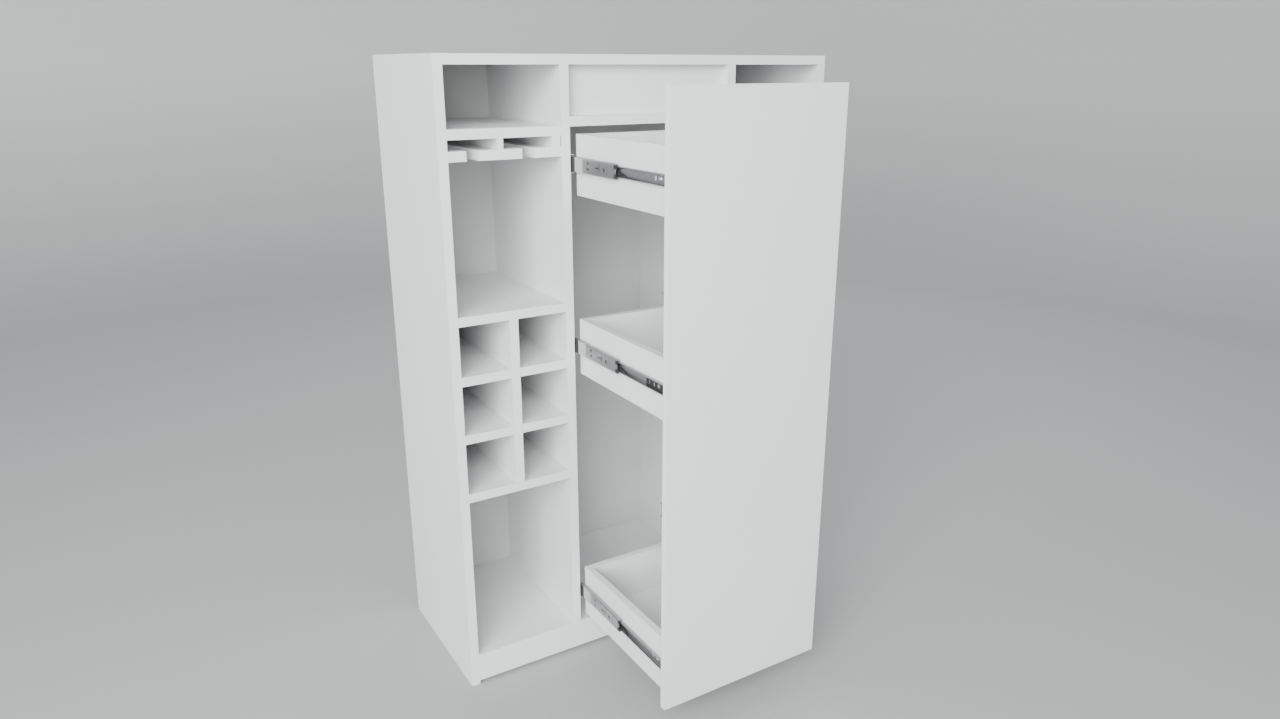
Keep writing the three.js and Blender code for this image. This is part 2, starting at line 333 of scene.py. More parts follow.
def melamine(name, band_planes, roughness=0.42):
    """White melamine board. Each of its banded edges is (axis, place, side the board is on)."""
    material, tree, shader = new_material(name)
    place = add_node(tree, "ShaderNodeTexCoord").outputs["Object"]
    paper = place_group(tree, pressed_paper, {"Vector": place, "Pebble Size": 0.0011})
    hands = place_group(tree, handling, {"Vector": place})
    wear = place_group(tree, edge_wear, {"Vector": place, "Width": 0.0011, "Patchiness": 0.40})
    axes = add_node(tree, "ShaderNodeSeparateXYZ", {"Vector": place})
    distance = 1.0
    for axis, where, side in band_planes:
        inside = maths(tree, "MULTIPLY", maths(tree, "SUBTRACT", axes.outputs[axis], where), side)
        distance = maths(tree, "MINIMUM", distance, inside)
    seam = place_group(tree, band_seam, {"Distance": distance, "Band": EDGE_BAND})

    shade = add_node(tree, "ShaderNodeMapRange",
                     {"Value": hands.outputs["Smears"], "To Min": 0.965, "To Max": 1.03})
    coat = blend_colours(tree, seam.outputs["On Band"], MELAMINE_WHITE, BAND_WHITE)
    toned = scaled(tree, coat, shade.outputs["Result"])
    seamed = blend_colours(tree, maths(tree, "MULTIPLY", seam.outputs["Seam"], 0.6), toned, RUBBED_GREY)
    worn = blend_colours(tree, maths(tree, "MULTIPLY", wear.outputs["Mask"], 0.5), seamed, RUBBED_GREY)
    tree.links.new(worn, shader.inputs["Base Color"])

    rough = maths(tree, "ADD", roughness - 0.05, maths(tree, "MULTIPLY", hands.outputs["Smears"], 0.12))
    rough = maths(tree, "ADD", rough, maths(tree, "MULTIPLY", hands.outputs["Scuffs"], 0.10))
    rough = maths(tree, "ADD", rough, maths(tree, "MULTIPLY", wear.outputs["Mask"], 0.15), clamp=True)
    tree.links.new(rough, shader.inputs["Roughness"])
    shader.inputs["Specular IOR Level"].default_value = 0.42

    groove = maths(tree, "MULTIPLY", seam.outputs["Seam"], 1.2)
    height = maths(tree, "SUBTRACT", paper.outputs["Height"], groove)
    add_bump(tree, shader, height, strength=0.3, distance=0.0002)
    return material


def finish_board(node, material, rounding=EDGE_ROUNDING, segments=2):
    """Gives a CAD board its material and its slightly rounded edges."""
    piece = nodes[node]
    piece.data.materials.clear()
    piece.data.materials.append(material)
    bevel = piece.modifiers.new("edge_rounding", "BEVEL")
    bevel.width = rounding
    bevel.segments = segments
    bevel.limit_method = "ANGLE"
    bevel.angle_limit = math.radians(40)
    bevel.harden_normals = True
    piece.data.shade_smooth()
    piece.data.set_sharp_from_angle(angle=math.radians(35))
    return piece


carcass_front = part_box("left_side_panel")[0].y
front_banded = melamine("melamine_front_banded", [("Y", carcass_front, 1)])
CARCASS_BOARDS = ["left_side_panel", "right_side_panel", "top_panel", "base_panel", "plinth_front",
                  "plinth_rear", "left_divider", "right_divider", "left_niche_shelf", "right_niche_shelf",
                  "middle_shelf"]
for board in CARCASS_BOARDS:
    finish_board(board, front_banded)
finish_board("middle_fascia", melamine("melamine_plain", []))

# ---------------------------------------------------------------------------------------------------------
# Glass racks
# Slats of the same board that hang under the side niches, with the feet of stemmed glasses between them
# and the shelf. Each rail is a slat glued under a narrow spacer, which is glued and dowelled to the shelf.
# ---------------------------------------------------------------------------------------------------------
for side in ("left", "right"):
    for rail in ("outer_slat", "centre_rail", "inner_rail"):
        finish_board(f"{side}_rack_{rail}", front_banded)

# ---------------------------------------------------------------------------------------------------------
# Bottle cubbies
# Three rows of two: an upright and two shelves of the same board are slotted into each other half way,
# and stand between a lower and an upper shelf.
# ---------------------------------------------------------------------------------------------------------
for side in ("left", "right"):
    for board in ("bottom", "top", "upright", "lower_shelf", "upper_shelf"):
        finish_board(f"{side}_cubby_{board}", front_banded)

# ---------------------------------------------------------------------------------------------------------
# Back panel
# A 3 mm hardboard sheet, lacquered white on both faces, laid on the rear edges of the carcass and nailed
# there every 95 mm or so. The nails' heads are driven just under the surface.
# ---------------------------------------------------------------------------------------------------------
NAIL_SPACING = 0.095
NAIL_HEAD = 0.0016
NAIL_SHANK = 0.0007
NAIL_LENGTH = 0.0028
NAIL_SUNK = 0.00015
DIMPLE = 0.0024
DIMPLE_DEPTH = 0.0007
SHEET_ROUNDING = 0.0003
CUTTER_PROUD = 0.0002
# Both coat colours are greyer than the boards' white: painted shade for the deep backs of the
# compartments.
SHADED_LACQUER_WHITE = (0.63, 0.64, 0.635, 1)
SHADED_LACQUER_CLOUD = (0.59, 0.595, 0.585, 1)
BARE_HARDBOARD = (0.33, 0.25, 0.17, 1)
BRIGHT_ZINC = (0.70, 0.715, 0.73, 1)
RUBBED_ZINC = (0.82, 0.83, 0.84, 1)


def middle_of(node):
    """The middle of a CAD node's box."""
    low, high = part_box(node)
    return (low + high) / 2


def evenly(low, high, spacing):
    """Places from low to high, evenly spaced and no further apart than the spacing."""
    count = max(1, math.ceil((high - low) / spacing))
    return [low + (high - low) * step / count for step in range(count + 1)]


def lathe(bm, profile, place, axis, steps=16):
    """A turned shape: (radius, distance along the axis) points, closed at both ends on the axis."""
    turn = Vector((0, 0, 1)).rotation_difference(Vector(axis)).to_matrix()
    rings = []
    for radius, along in profile:
        if radius == 0:
            rings.append([bm.verts.new(Vector(place) + turn @ Vector((0, 0, along)))])
            continue
        ring = []
        for step in range(steps):
            angle = 2 * math.pi * step / steps
            point = Vector((radius * math.cos(angle), radius * math.sin(angle), along))
            ring.append(bm.verts.new(Vector(place) + turn @ point))
        rings.append(ring)
    for lower, upper in zip(rings, rings[1:]):
        for step in range(steps):
            after = (step + 1) % steps
            if len(lower) == 1:
                bm.faces.new((lower[0], upper[step], upper[after]))
            elif len(upper) == 1:
                bm.faces.new((lower[step], lower[after], upper[0]))
            else:
                bm.faces.new((lower[step], lower[after], upper[after], upper[step]))


def evaluated_mesh(piece):
    """A new mesh: the piece's own with its modifiers applied."""
    bpy.context.view_layer.update()
    depsgraph = bpy.context.evaluated_depsgraph_get()
    return bpy.data.meshes.new_from_object(piece.evaluated_get(depsgraph))


def cut_away(mesh, build_cutter):
    """A new mesh: the given one with the cutter's shapes taken out, its broad faces shaded flat."""
    body = link(bpy.data.objects.new("uncut", mesh))
    cutter = link(bpy.data.objects.new("cutter", mesh_from("cutter", build_cutter)))
    cut = body.modifiers.new("cut", "BOOLEAN")
    cut.operation = "DIFFERENCE"
    cut.solver = "EXACT"
    cut.object = cutter
    opened = evaluated_mesh(body)
    opened.shade_smooth()
    opened.set_sharp_from_angle(angle=math.radians(32))
    body.modifiers.clear()
    body.data = opened
    weighted = body.modifiers.new("flat_faces", "WEIGHTED_NORMAL")
    weighted.keep_sharp = True
    weighted.weight = 100
    result = evaluated_mesh(body)
    for leftover in (body, cutter):
        bpy.data.objects.remove(leftover)
    return result


sheet_low, sheet_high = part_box("back_panel")
side_line = middle_of("right_side_panel").x
divider_line = middle_of("right_divider").x
base_line = middle_of("base_panel").z
top_line = middle_of("top_panel").z
nail_columns = (-side_line, -divider_line, divider_line, side_line)
nail_places = []
for column in nail_columns:
    nail_places += [(column, height) for height in evenly(base_line, top_line, NAIL_SPACING)]
for row in (base_line, top_line):
    for start, end in zip(nail_columns, nail_columns[1:]):
        nail_places += [(place, row) for place in evenly(start, end, NAIL_SPACING)[1:-1]]


def build_sheet(bm):
    size = sheet_high - sheet_low
    placed = Matrix.Translation(middle_of("back_panel")) @ Matrix.Diagonal((*size, 1))
    bmesh.ops.create_cube(bm, size=1, matrix=placed)
    bmesh.ops.bevel(bm, geom=bm.edges[:], offset=SHEET_ROUNDING, segments=2, affect="EDGES")


def build_dimples(bm):
    for across, height in nail_places:
        profile = [(0, -DIMPLE_DEPTH), (NAIL_HEAD, -DIMPLE_DEPTH),
                   (DIMPLE, CUTTER_PROUD), (0, CUTTER_PROUD)]
        lathe(bm, profile, (across, sheet_high.y, height), (0, 1, 0))


def build_nails(bm):
    for across, height in nail_places:
        profile = [(0, -NAIL_LENGTH), (NAIL_SHANK, -NAIL_LENGTH + 0.0002), (NAIL_SHANK, -0.0008),
                   (NAIL_HEAD, -0.0006), (NAIL_HEAD, -0.0003), (0.0011, -NAIL_SUNK), (0, -NAIL_SUNK)]
        lathe(bm, profile, (across, sheet_high.y, height), (0, 1, 0))


hardboard, tree, shader = new_material("lacquered_hardboard")
place = add_node(tree, "ShaderNodeTexCoord").outputs["Object"]
fibres = add_node(tree, "ShaderNodeTexNoise",
                  {"Vector": place, "Scale": 950.0, "Detail": 6.0, "Roughness": 0.7})
clouds = add_node(tree, "ShaderNodeTexNoise", {"Vector": place, "Scale": 14.0, "Detail": 5.0})
hands = place_group(tree, handling, {"Vector": place})
wear = place_group(tree, edge_wear, {"Vector": place, "Width": 0.0010, "Patchiness": 0.35})
# Painted shade: the sheet's coat is greyer than the boards, with random clouds of tone over it.
coat = blend_colours(tree, clouds.outputs["Fac"], SHADED_LACQUER_WHITE, SHADED_LACQUER_CLOUD)
worn = blend_colours(tree, maths(tree, "MULTIPLY", wear.outputs["Mask"], 0.55), coat, BARE_HARDBOARD)
tree.links.new(worn, shader.inputs["Base Color"])
rough = maths(tree, "ADD", 0.48, maths(tree, "MULTIPLY", hands.outputs["Smears"], 0.16))
tree.links.new(rough, shader.inputs["Roughness"])
add_bump(tree, shader, fibres.outputs["Fac"], strength=0.22, distance=0.00015)
shader.inputs["Specular IOR Level"].default_value = 0.35

sheet_mesh = cut_away(mesh_from("back_panel_sheet", build_sheet), build_dimples)
back_sheet = new_piece("back_panel_sheet", sheet_mesh, hardboard)
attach(back_sheet, "carcass")
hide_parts("back_panel")


def zinc(name, colour, roughness):
    """Zinc-plated rolled steel: a fine grain along the rolling, faint cloudy patches and duller edges."""
    material, tree, shader = new_material(name)
    place = add_node(tree, "ShaderNodeTexCoord").outputs["Object"]
    drawn_out = add_node(tree, "ShaderNodeMapping", {"Vector": place, "Scale": (900, 14, 900)})
    grain = add_node(tree, "ShaderNodeTexNoise",
                     {"Vector": drawn_out.outputs["Vector"], "Scale": 1.6, "Detail": 5.0,
                      "Roughness": 0.65})
    patches = add_node(tree, "ShaderNodeTexVoronoi",
                       {"Vector": place, "Scale": 150.0}, feature="SMOOTH_F1")
    clouds = add_node(tree, "ShaderNodeTexNoise", {"Vector": place, "Scale": 42.0, "Detail": 5.0})
    wear = place_group(tree, edge_wear, {"Vector": place, "Width": 0.0004, "Patchiness": 0.25})
    spangle = maths(tree, "MULTIPLY", patches.outputs["Distance"], 0.7, clamp=True)
    plated = blend_colours(tree, spangle, colour, darker(colour, 0.80))
    cloud = maths(tree, "MULTIPLY", clouds.outputs["Fac"], 0.35)
    clouded = blend_colours(tree, cloud, plated, darker(colour, 0.86))
    rubbed = blend_colours(tree, maths(tree, "MULTIPLY", wear.outputs["Mask"], 0.6), clouded, RUBBED_ZINC)
    tree.links.new(rubbed, shader.inputs["Base Color"])
    shader.inputs["Metallic"].default_value = 1.0
    rough = maths(tree, "ADD", roughness - 0.08, maths(tree, "MULTIPLY", grain.outputs["Fac"], 0.16))
    rough = maths(tree, "ADD", rough, maths(tree, "MULTIPLY", clouds.outputs["Fac"], 0.08), clamp=True)
    tree.links.new(rough, shader.inputs["Roughness"])
    add_bump(tree, shader, grain.outputs["Fac"], strength=0.25, distance=0.00006)
    return material


bright_zinc = zinc("bright_zinc", BRIGHT_ZINC, roughness=0.34)
nails = new_piece("back_panel_nails", mesh_from("back_panel_nails", build_nails), bright_zinc)
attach(nails, "carcass")

# ---------------------------------------------------------------------------------------------------------
# Pull-out front
# One tall board, 12 mm thick and banded all round, that covers the middle opening from the base to a
# finger's height below the top. It is screwed to the trays from inside.
# ---------------------------------------------------------------------------------------------------------
FRONT_ROUNDING = 0.0009
front_low, front_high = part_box("front_panel")
front_edges = [("X", front_low.x, 1), ("X", front_high.x, -1),
               ("Z", front_low.z, 1), ("Z", front_high.z, -1)]
front_coat = melamine("melamine_front_panel", front_edges, roughness=0.40)
finish_board("front_panel", front_coat, rounding=FRONT_ROUNDING, segments=3)

# ---------------------------------------------------------------------------------------------------------
# Trays
# Three open boxes of 12 mm board, their upper edges banded. The floor and the sides butt against the rear
# board, which runs the full width, and against the front panel.
# ---------------------------------------------------------------------------------------------------------
LEVELS = ("bottom", "middle", "top")
for level in LEVELS:
    tray_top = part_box(f"{level}_tray_rear")[1].z
    tray_coat = melamine(f"melamine_{level}_tray", [("Z", tray_top, -1)])
    for board in ("rear", "floor", "left_side", "right_side"):
        finish_board(f"{level}_tray_{board}", tray_coat)

# ---------------------------------------------------------------------------------------------------------
# Slides: the cabinet members
# Cold-rolled steel channels 1.2 mm thick, zinc plated, screwed to the dividers. Their flanges curl in over
# the balls, and a punched tab at the rear stops the ball cage.
# ---------------------------------------------------------------------------------------------------------
SHEET = 0.0012
BEND = 0.0022
BEND_ARC = 6
CURL = 0.0005
PUNCH_OVER = 0.0004
# Places along a member are measured back from its front end. A pair is where a shape starts and ends.
CABINET_SCREWS = (0.018, 0.083, 0.148)
PUNCH_STEP = 0.016
HEADS_SUNK = 0.0006
STOP_TAB_FROM_REAR = (0.010, 0.004)
STOP_TAB_HALF = 0.006
SIDES = (("left", -1), ("right", 1))
Member = namedtuple("Member", ("near", "far", "front", "rear", "height"))
half_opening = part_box("right_divider")[0].x
tray_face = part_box("top_tray_right_side")[1].x
slide_gap = half_opening - tray_face
slide_middle = {level: middle_of(f"{level}_left_slide_cabinet_member").z for level in LEVELS}


def measured(kind, side_name, side):
    """A side's cabinet, middle or drawer member: near and far are its reach from the divider's face."""
    low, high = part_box(f"top_{side_name}_slide_{kind}_member")
    near, far = sorted(half_opening - side * x for x in (low.x, high.x))
    return Member(near, far, low.y, high.y, high.z - low.z)


def formed_section(height, reach, curl):
    """The centre line of a rolled channel, from one flange's tip round the web to the other's: (w, h)."""
    radius = BEND - SHEET / 2
    corner = (BEND, height / 2 - BEND)
    upper = [(reach - SHEET / 4, height / 2 - SHEET / 2 - curl), (reach - 0.0015, height / 2 - SHEET / 2)]
    for step in range(BEND_ARC + 1):
        angle = math.pi / 2 + step / BEND_ARC * math.pi / 2
        upper.append((corner[0] + radius * math.cos(angle), corner[1] + radius * math.sin(angle)))
    return upper + [(w, -h) for w, h in reversed(upper)]


def thickened(line, thickness):
    """The closed outline of a strip of sheet that follows the line."""
    outer, inner = [], []
    for index, point in enumerate(line):
        before = Vector(line[max(index - 1, 0)])
        after = Vector(line[min(index + 1, len(line) - 1)])
        here = Vector(point)
        arriving = (here - before).normalized() if index else (after - here).normalized()
        leaving = (after - here).normalized() if index < len(line) - 1 else arriving
        along = (arriving + leaving).normalized()
        reach = thickness / 2 / max(along.dot(leaving), 0.5)
        normal = Vector((-along.y, along.x)) * reach
        outer.append(here + normal)
        inner.append(here - normal)
    return outer + inner[::-1]


def in_slide(side, w, y, h):
    """A point of a slide: w from the divider's face towards the tray, h above the slide's middle."""
    return Vector((side * (half_opening - w), y, h))


def close_solid(bm, ends):
    """Faces over two like rings of vertices and all round between them."""
    bm.faces.new(ends[0])
    bm.faces.new(ends[1])
    for index in range(len(ends[0])):
        after = (index + 1) % len(ends[0])
        bm.faces.new((ends[0][index], ends[0][after], ends[1][after], ends[1][index]))


def run_along(bm, side, outline, start, end):
    """A solid bar of the outline (w, h), from start to end along the cabinet's depth."""
    close_solid(bm, [[bm.verts.new(in_slide(side, w, y, h)) for w, h in outline] for y in (start, end)])


def plate(bm, side, outline, near, far):
    """A flat plate of the outline (y, h), from near to far across the slide."""
    close_solid(bm, [[bm.verts.new(in_slide(side, w, y, h)) for y, h in outline] for w in (near, far)])


def round_hole(y, h, radius, steps=20):
    angles = [2 * math.pi * step / steps for step in range(steps)]
    return [(y + radius * math.cos(angle), h + radius * math.sin(angle)) for angle in angles]


def slot_hole(y, h, length, height, steps=8):
    """A slot with round ends, its length along the depth, or upright where the height is the larger."""
    radius = min(length, height) / 2
    reach = (max(length, height) / 2) - radius
    points = []
    for end in (1, -1):
        for step in range(steps + 1):
            angle = -math.pi / 2 + math.pi * step / steps
            points.append((end * (reach + radius * math.cos(angle)), end * radius * math.sin(angle)))
    if height > length:
        points = [(-b, a) for a, b in points]
    return [(y + a, h + b) for a, b in points]


def triangle_hole(y, h, width, height):
    return [(y - width / 2, h - height / 2), (y + width / 2, h - height / 2), (y, h + height / 2)]


def rectangle(y0, y1, h0, h1):
    return [(y0, h0), (y1, h0), (y1, h1), (y0, h1)]


def chamfered(y0, y1, h0, h1, cut):
    """A rectangle with its four corners cut off."""
    return [(y0 + cut, h0), (y1 - cut, h0), (y1, h0 + cut), (y1, h1 - cut), (y1 - cut, h1), (y0 + cut, h1),
            (y0, h1 - cut), (y0, h0 + cut)]


def formed_member(name, side, section, member, holes, web):
    """A rolled member with its holes punched through the web, whose face towards the divider is at web."""
    blank = mesh_from(name, lambda bm: run_along(bm, side, section, member.front, member.rear))

    def build_punches(bm):
        for hole in holes:
            plate(bm, side, hole, web - PUNCH_OVER, web + SHEET + PUNCH_OVER)

    return cut_away(blank, build_punches)


def place_in_slides(name, side_name, mesh, material, body, replaced=None, levels=LEVELS):
    """One copy of the piece at each level's slide, riding on its body."""
    for level in levels:
        piece = new_piece(f"{level}_{side_name}_{name}", mesh, material)
        piece.location.z = slide_middle[level]
        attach(piece, body.format(level=level, side=side_name))
        if replaced:
            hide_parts(f"{level}_{side_name}_{replaced}")


for side_name, side in SIDES:
    member = measured("cabinet", side_name, side)
    section = thickened(formed_section(member.height, member.far, CURL), SHEET)
    holes = []
    for y in [member.front + offset for offset in CABINET_SCREWS]:
        holes.append(round_hole(y, 0, radius=0.0023))
        holes.append(slot_hole(y + PUNCH_STEP, 0, length=0.0075, height=0.0042))
        holes.append(slot_hole(y + 2 * PUNCH_STEP, 0, length=0.0035, height=0.0075))
    tab_start, tab_end = [member.rear - setback for setback in STOP_TAB_FROM_REAR]
    holes.append(rectangle(tab_start, tab_end, -STOP_TAB_HALF, STOP_TAB_HALF))
    mesh = formed_member("cabinet_channel", side, section, member, holes, web=0)
    place_in_slides("slide_cabinet_channel", side_name, mesh, bright_zinc, "carcass",
                    "slide_cabinet_member")


def build_cross(bm, place, axis, arm, width, low, high):
    """Two crossed bars, the recess that a screwdriver fits."""
    turn = Vector((0, 0, 1)).rotation_difference(Vector(axis)).to_matrix()
    outline = []
    for quarter in range(4):
        spin = Matrix.Rotation(quarter * math.pi / 2, 2)
        for corner in ((width, width), (width, arm), (-width, arm)):
            outline.append(spin @ Vector(corner))
    close_solid(bm, [[bm.verts.new(Vector(place) + turn @ Vector((point.x, point.y, along)))
                      for point in outline] for along in (low, high)])


def screw_heads(name, side, places, base, outward, radius, rise):
    """Screw heads with cross recesses, on a face at base that looks outward (1 to the tray, -1 away)."""
    axis = Vector((-side * outward, 0, 0))

    def build_heads(bm):
        for y, h in places:
            profile = [(0, -0.0004), (radius * 0.9, -0.0004), (radius, 0.0), (radius, rise * 0.25),
                       (radius * 0.88, rise * 0.65), (radius * 0.62, rise * 0.92), (0, rise)]
            lathe(bm, profile, in_slide(side, base, y, h), axis, steps=24)

    def build_recesses(bm):
        for y, h in places:
            build_cross(bm, in_slide(side, base, y, h), axis, arm=radius * 0.55, width=radius * 0.13,
                        low=rise * 0.15, high=rise + 0.001)

    return cut_away(mesh_from(name, build_heads), build_recesses)


for side_name, side in SIDES:
    front = measured("cabinet", side_name, side).front
    places = [(front + offset, 0) for offset in CABINET_SCREWS]
    mesh = screw_heads("cabinet_channel_screws", side, places, base=SHEET - HEADS_SUNK, outward=1,
                       radius=0.0034, rise=0.0009)
    place_in_slides("slide_cabinet_screws", side_name, mesh, bright_zinc, "carcass")

# ---------------------------------------------------------------------------------------------------------
# Slides: the middle members
# A second rolled channel that travels half as far as the pull-out, on balls in both its races. It is
# punched with two triangular stop windows, a latch window, an access hole and three small round holes.
# ---------------------------------------------------------------------------------------------------------
DULL_ZINC = (0.47, 0.485, 0.50, 1)
STOP_WINDOWS = 0.0875
LATCH_BAR = (0.0490, 0.0516)
LATCH_SLOT = (0.0532, 0.0650)
ACCESS_HOLE = 0.0360
SMALL_HOLES = 0.0235
REAR_SLOT = 0.1600
REAR_HOLE = 0.1850
dull_zinc = zinc("dull_zinc", DULL_ZINC, roughness=0.42)
for side_name, side in SIDES:
    member = measured("middle", side_name, side)
    line = formed_section(member.height, member.far - member.near, CURL)
    section = thickened([(w + member.near, h) for w, h in line], SHEET)
    front = member.front
    lower_window = triangle_hole(front + STOP_WINDOWS, 0.0052, width=0.0085, height=0.0052)
    holes = [
        triangle_hole(front + STOP_WINDOWS, 0.0062, width=0.0085, height=0.0052),
        [(y, -h) for y, h in lower_window],
        rectangle(front + LATCH_BAR[0], front + LATCH_BAR[1], -0.0052, 0.0052),
        rectangle(front + LATCH_SLOT[0], front + LATCH_SLOT[1], -0.0010, 0.0010),
        round_hole(front + ACCESS_HOLE, -0.0010, radius=0.0036),
        *[round_hole(front + SMALL_HOLES, h, radius=0.0012) for h in (0.0045, 0.0, -0.0045)],
        slot_hole(front + REAR_SLOT, 0, length=0.0160, height=0.0060),
        round_hole(front + REAR_HOLE, 0, radius=0.0030),
    ]
    mesh = formed_member("middle_channel", side, section, member, holes, web=member.near)
    place_in_slides("slide_middle_channel", side_name, mesh, dull_zinc, "{level}_{side}_slide_middle",
                    "slide_middle_member")

# ---------------------------------------------------------------------------------------------------------
# Slides: the drawer members
# The narrowest channel, screwed to the tray's side with its flanges towards the divider: one screw near
# each end. Behind the front screw the white board shows through an upright slot.
# ---------------------------------------------------------------------------------------------------------
FRONT_SCREW = 0.0275
UPRIGHT_SLOT = 0.0405
LONG_SLOT = 0.1580
REAR_SCREW = 0.1850
PUNCHED_UP = 0.0005
for side_name, side in SIDES:
    member = measured("drawer", side_name, side)
    line = formed_section(member.height, member.far - member.near, CURL)
    section = thickened([(slide_gap - w, h) for w, h in line], SHEET)
    front = member.front
    holes = [
        round_hole(front + FRONT_SCREW, PUNCHED_UP, radius=0.0022),
        slot_hole(front + UPRIGHT_SLOT, PUNCHED_UP, length=0.0034, height=0.0070),
        slot_hole(front + LONG_SLOT, 0, length=0.0110, height=0.0042),
        round_hole(front + REAR_SCREW, 0, radius=0.0022),
    ]
    mesh = formed_member("drawer_channel", side, section, member, holes, web=slide_gap - SHEET)
    place_in_slides("slide_drawer_channel", side_name, mesh, dull_zinc, "pull_out",
                    "slide_drawer_member")
    places = [(front + FRONT_SCREW, PUNCHED_UP), (front + REAR_SCREW, 0)]
    mesh = screw_heads("drawer_channel_screws", side, places, base=slide_gap - SHEET, outward=-1,
                       radius=0.0038, rise=0.0016)
    place_in_slides("slide_drawer_screws", side_name, mesh, bright_zinc, "pull_out")

# ---------------------------------------------------------------------------------------------------------
# Slides: ball cages
# Between nested flanges run 2 mm steel balls, held apart by thin black cages that travel with the middle
# member: flat strips above and below it, and inside it a trough that reaches past the drawer member.
# The trough also runs back behind the stop windows, so that they show dark: partly painted shade.
# ---------------------------------------------------------------------------------------------------------
BALL = 0.00098
BALL_SPACING = 0.0105
BALL_INSET = 0.0030
POCKET = BALL * 1.05
POCKET_REACH = 0.0008
CAGE_SHEET = 0.0005
CAGE_MARGIN = 0.004
STRIP_HALF_WIDTH = 0.0019
OUTER_CAGE_INSET = 0.006
INNER_CAGE_WITH_PAINTED_SHADE = (0.011, 0.1)
BLACK = (0.020, 0.020, 0.021, 1)
NYLON_GREY = (0.43, 0.44, 0.44, 1)
CLEAN_STEEL = (0.80, 0.80, 0.79, 1)
OILED_STEEL = (0.56, 0.54, 0.49, 1)


def moulded(name, colour, roughness):
    """Injection-moulded plastic: a fine spark-eroded texture, rubbed smoother and paler at the edges."""
    material, tree, shader = new_material(name)
    place = add_node(tree, "ShaderNodeTexCoord").outputs["Object"]
    texture = place_group(tree, pressed_paper, {"Vector": place, "Pebble Size": 0.0005})
    hands = place_group(tree, handling, {"Vector": place})
    wear = place_group(tree, edge_wear, {"Vector": place, "Width": 0.0003, "Patchiness": 0.3})
    paler = [min(1, part * 1.25 + 0.06) for part in colour[:3]] + [1]
    worn = blend_colours(tree, maths(tree, "MULTIPLY", wear.outputs["Mask"], 0.4), colour, paler)
    speckle = maths(tree, "MULTIPLY", texture.outputs["Shade"], 0.25)
    shaded = blend_colours(tree, speckle, worn, darker(colour, 0.8))
    tree.links.new(shaded, shader.inputs["Base Color"])
    rough = maths(tree, "ADD", roughness, maths(tree, "MULTIPLY", hands.outputs["Smears"], 0.14))
    rough = maths(tree, "SUBTRACT", rough, maths(tree, "MULTIPLY", wear.outputs["Mask"], 0.12), clamp=True)
    tree.links.new(rough, shader.inputs["Roughness"])
    add_bump(tree, shader, texture.outputs["Height"], strength=0.3, distance=0.00008)
    return material


black_plastic = moulded("black_acetal", BLACK, roughness=0.42)
pale_nylon = moulded("pale_nylon", NYLON_GREY, roughness=0.42)

polished_steel, tree, shader = new_material("polished_ball_steel")
place = add_node(tree, "ShaderNodeTexCoord").outputs["Object"]
film = add_node(tree, "ShaderNodeTexNoise", {"Vector": place, "Scale": 260.0, "Detail": 4.0})
oiled = blend_colours(tree, film.outputs["Fac"], CLEAN_STEEL, OILED_STEEL)
tree.links.new(oiled, shader.inputs["Base Color"])
shader.inputs["Metallic"].default_value = 1.0
tree.links.new(maths(tree, "MULTIPLY", film.outputs["Fac"], 0.25), shader.inputs["Roughness"])


def add_balls(bm, side, race_w, race_h, start, end):
    for y in evenly(start, end, BALL_SPACING):
        for sign in (1, -1):
            placed = Matrix.Translation(in_slide(side, race_w, y, sign * race_h))
            bmesh.ops.create_icosphere(bm, subdivisions=2, radius=BALL, matrix=placed)


def ball_cage(side, lines, race_w, race_h, start, end):
    """A cage: strips of sheet that follow the lines (w, h), with a round pocket for every ball."""
    def build_blank(bm):
        for line in lines:
            run_along(bm, side, thickened(line, CAGE_SHEET), start - CAGE_MARGIN, end + CAGE_MARGIN)

    def build_pockets(bm):
        profile = [(0, -POCKET_REACH), (POCKET, -POCKET_REACH), (POCKET, POCKET_REACH), (0, POCKET_REACH)]
        for y in evenly(start, end, BALL_SPACING):
            for sign in (1, -1):
                lathe(bm, profile, in_slide(side, race_w, y, sign * race_h), (0, 0, 1), steps=12)

    return cut_away(mesh_from("ball_cage", build_blank), build_pockets)


def race(outer_height, inner_height):
    """The height of the balls' centres, between a channel's flanges and those of the one inside it."""
    return (outer_height / 2 - SHEET + inner_height / 2) / 2


for side_name, side in SIDES:
    cabinet, middle, drawer = [measured(kind, side_name, side) for kind in ("cabinet", "middle", "drawer")]

    outer_w, outer_h = cabinet.far - BALL_INSET, race(cabinet.height, middle.height)
    strips = [[(outer_w - STRIP_HALF_WIDTH, sign * outer_h), (outer_w + STRIP_HALF_WIDTH, sign * outer_h)]
              for sign in (1, -1)]
    outer = ("outer", strips, outer_w, outer_h,
             cabinet.front + OUTER_CAGE_INSET, middle.rear - OUTER_CAGE_INSET)

    inner_w, inner_h = middle.far - BALL_INSET, race(middle.height, drawer.height)
    floor = middle.near + SHEET + 0.0004
    upper = [(inner_w + 0.0014, inner_h), (floor + 0.0006, inner_h), (floor, inner_h - 0.0006)]
    trough = upper + [(w, -h) for w, h in reversed(upper)]
    # The trough's span reaches back behind the stop windows: painted shade that makes them show dark.
    inner = ("inner", [trough], inner_w, inner_h,
             middle.front + INNER_CAGE_WITH_PAINTED_SHADE[0], middle.front + INNER_CAGE_WITH_PAINTED_SHADE[1])

    for cage_name, lines, race_w, race_h, start, end in (outer, inner):
        body = "{level}_{side}_slide_middle"
        cage = ball_cage(side, lines, race_w, race_h, start, end)
        place_in_slides(f"slide_{cage_name}_cage", side_name, cage, black_plastic, body)
        balls = mesh_from("balls", lambda bm: add_balls(bm, side, race_w, race_h, start, end))
        place_in_slides(f"slide_{cage_name}_balls", side_name, balls, polished_steel, body)
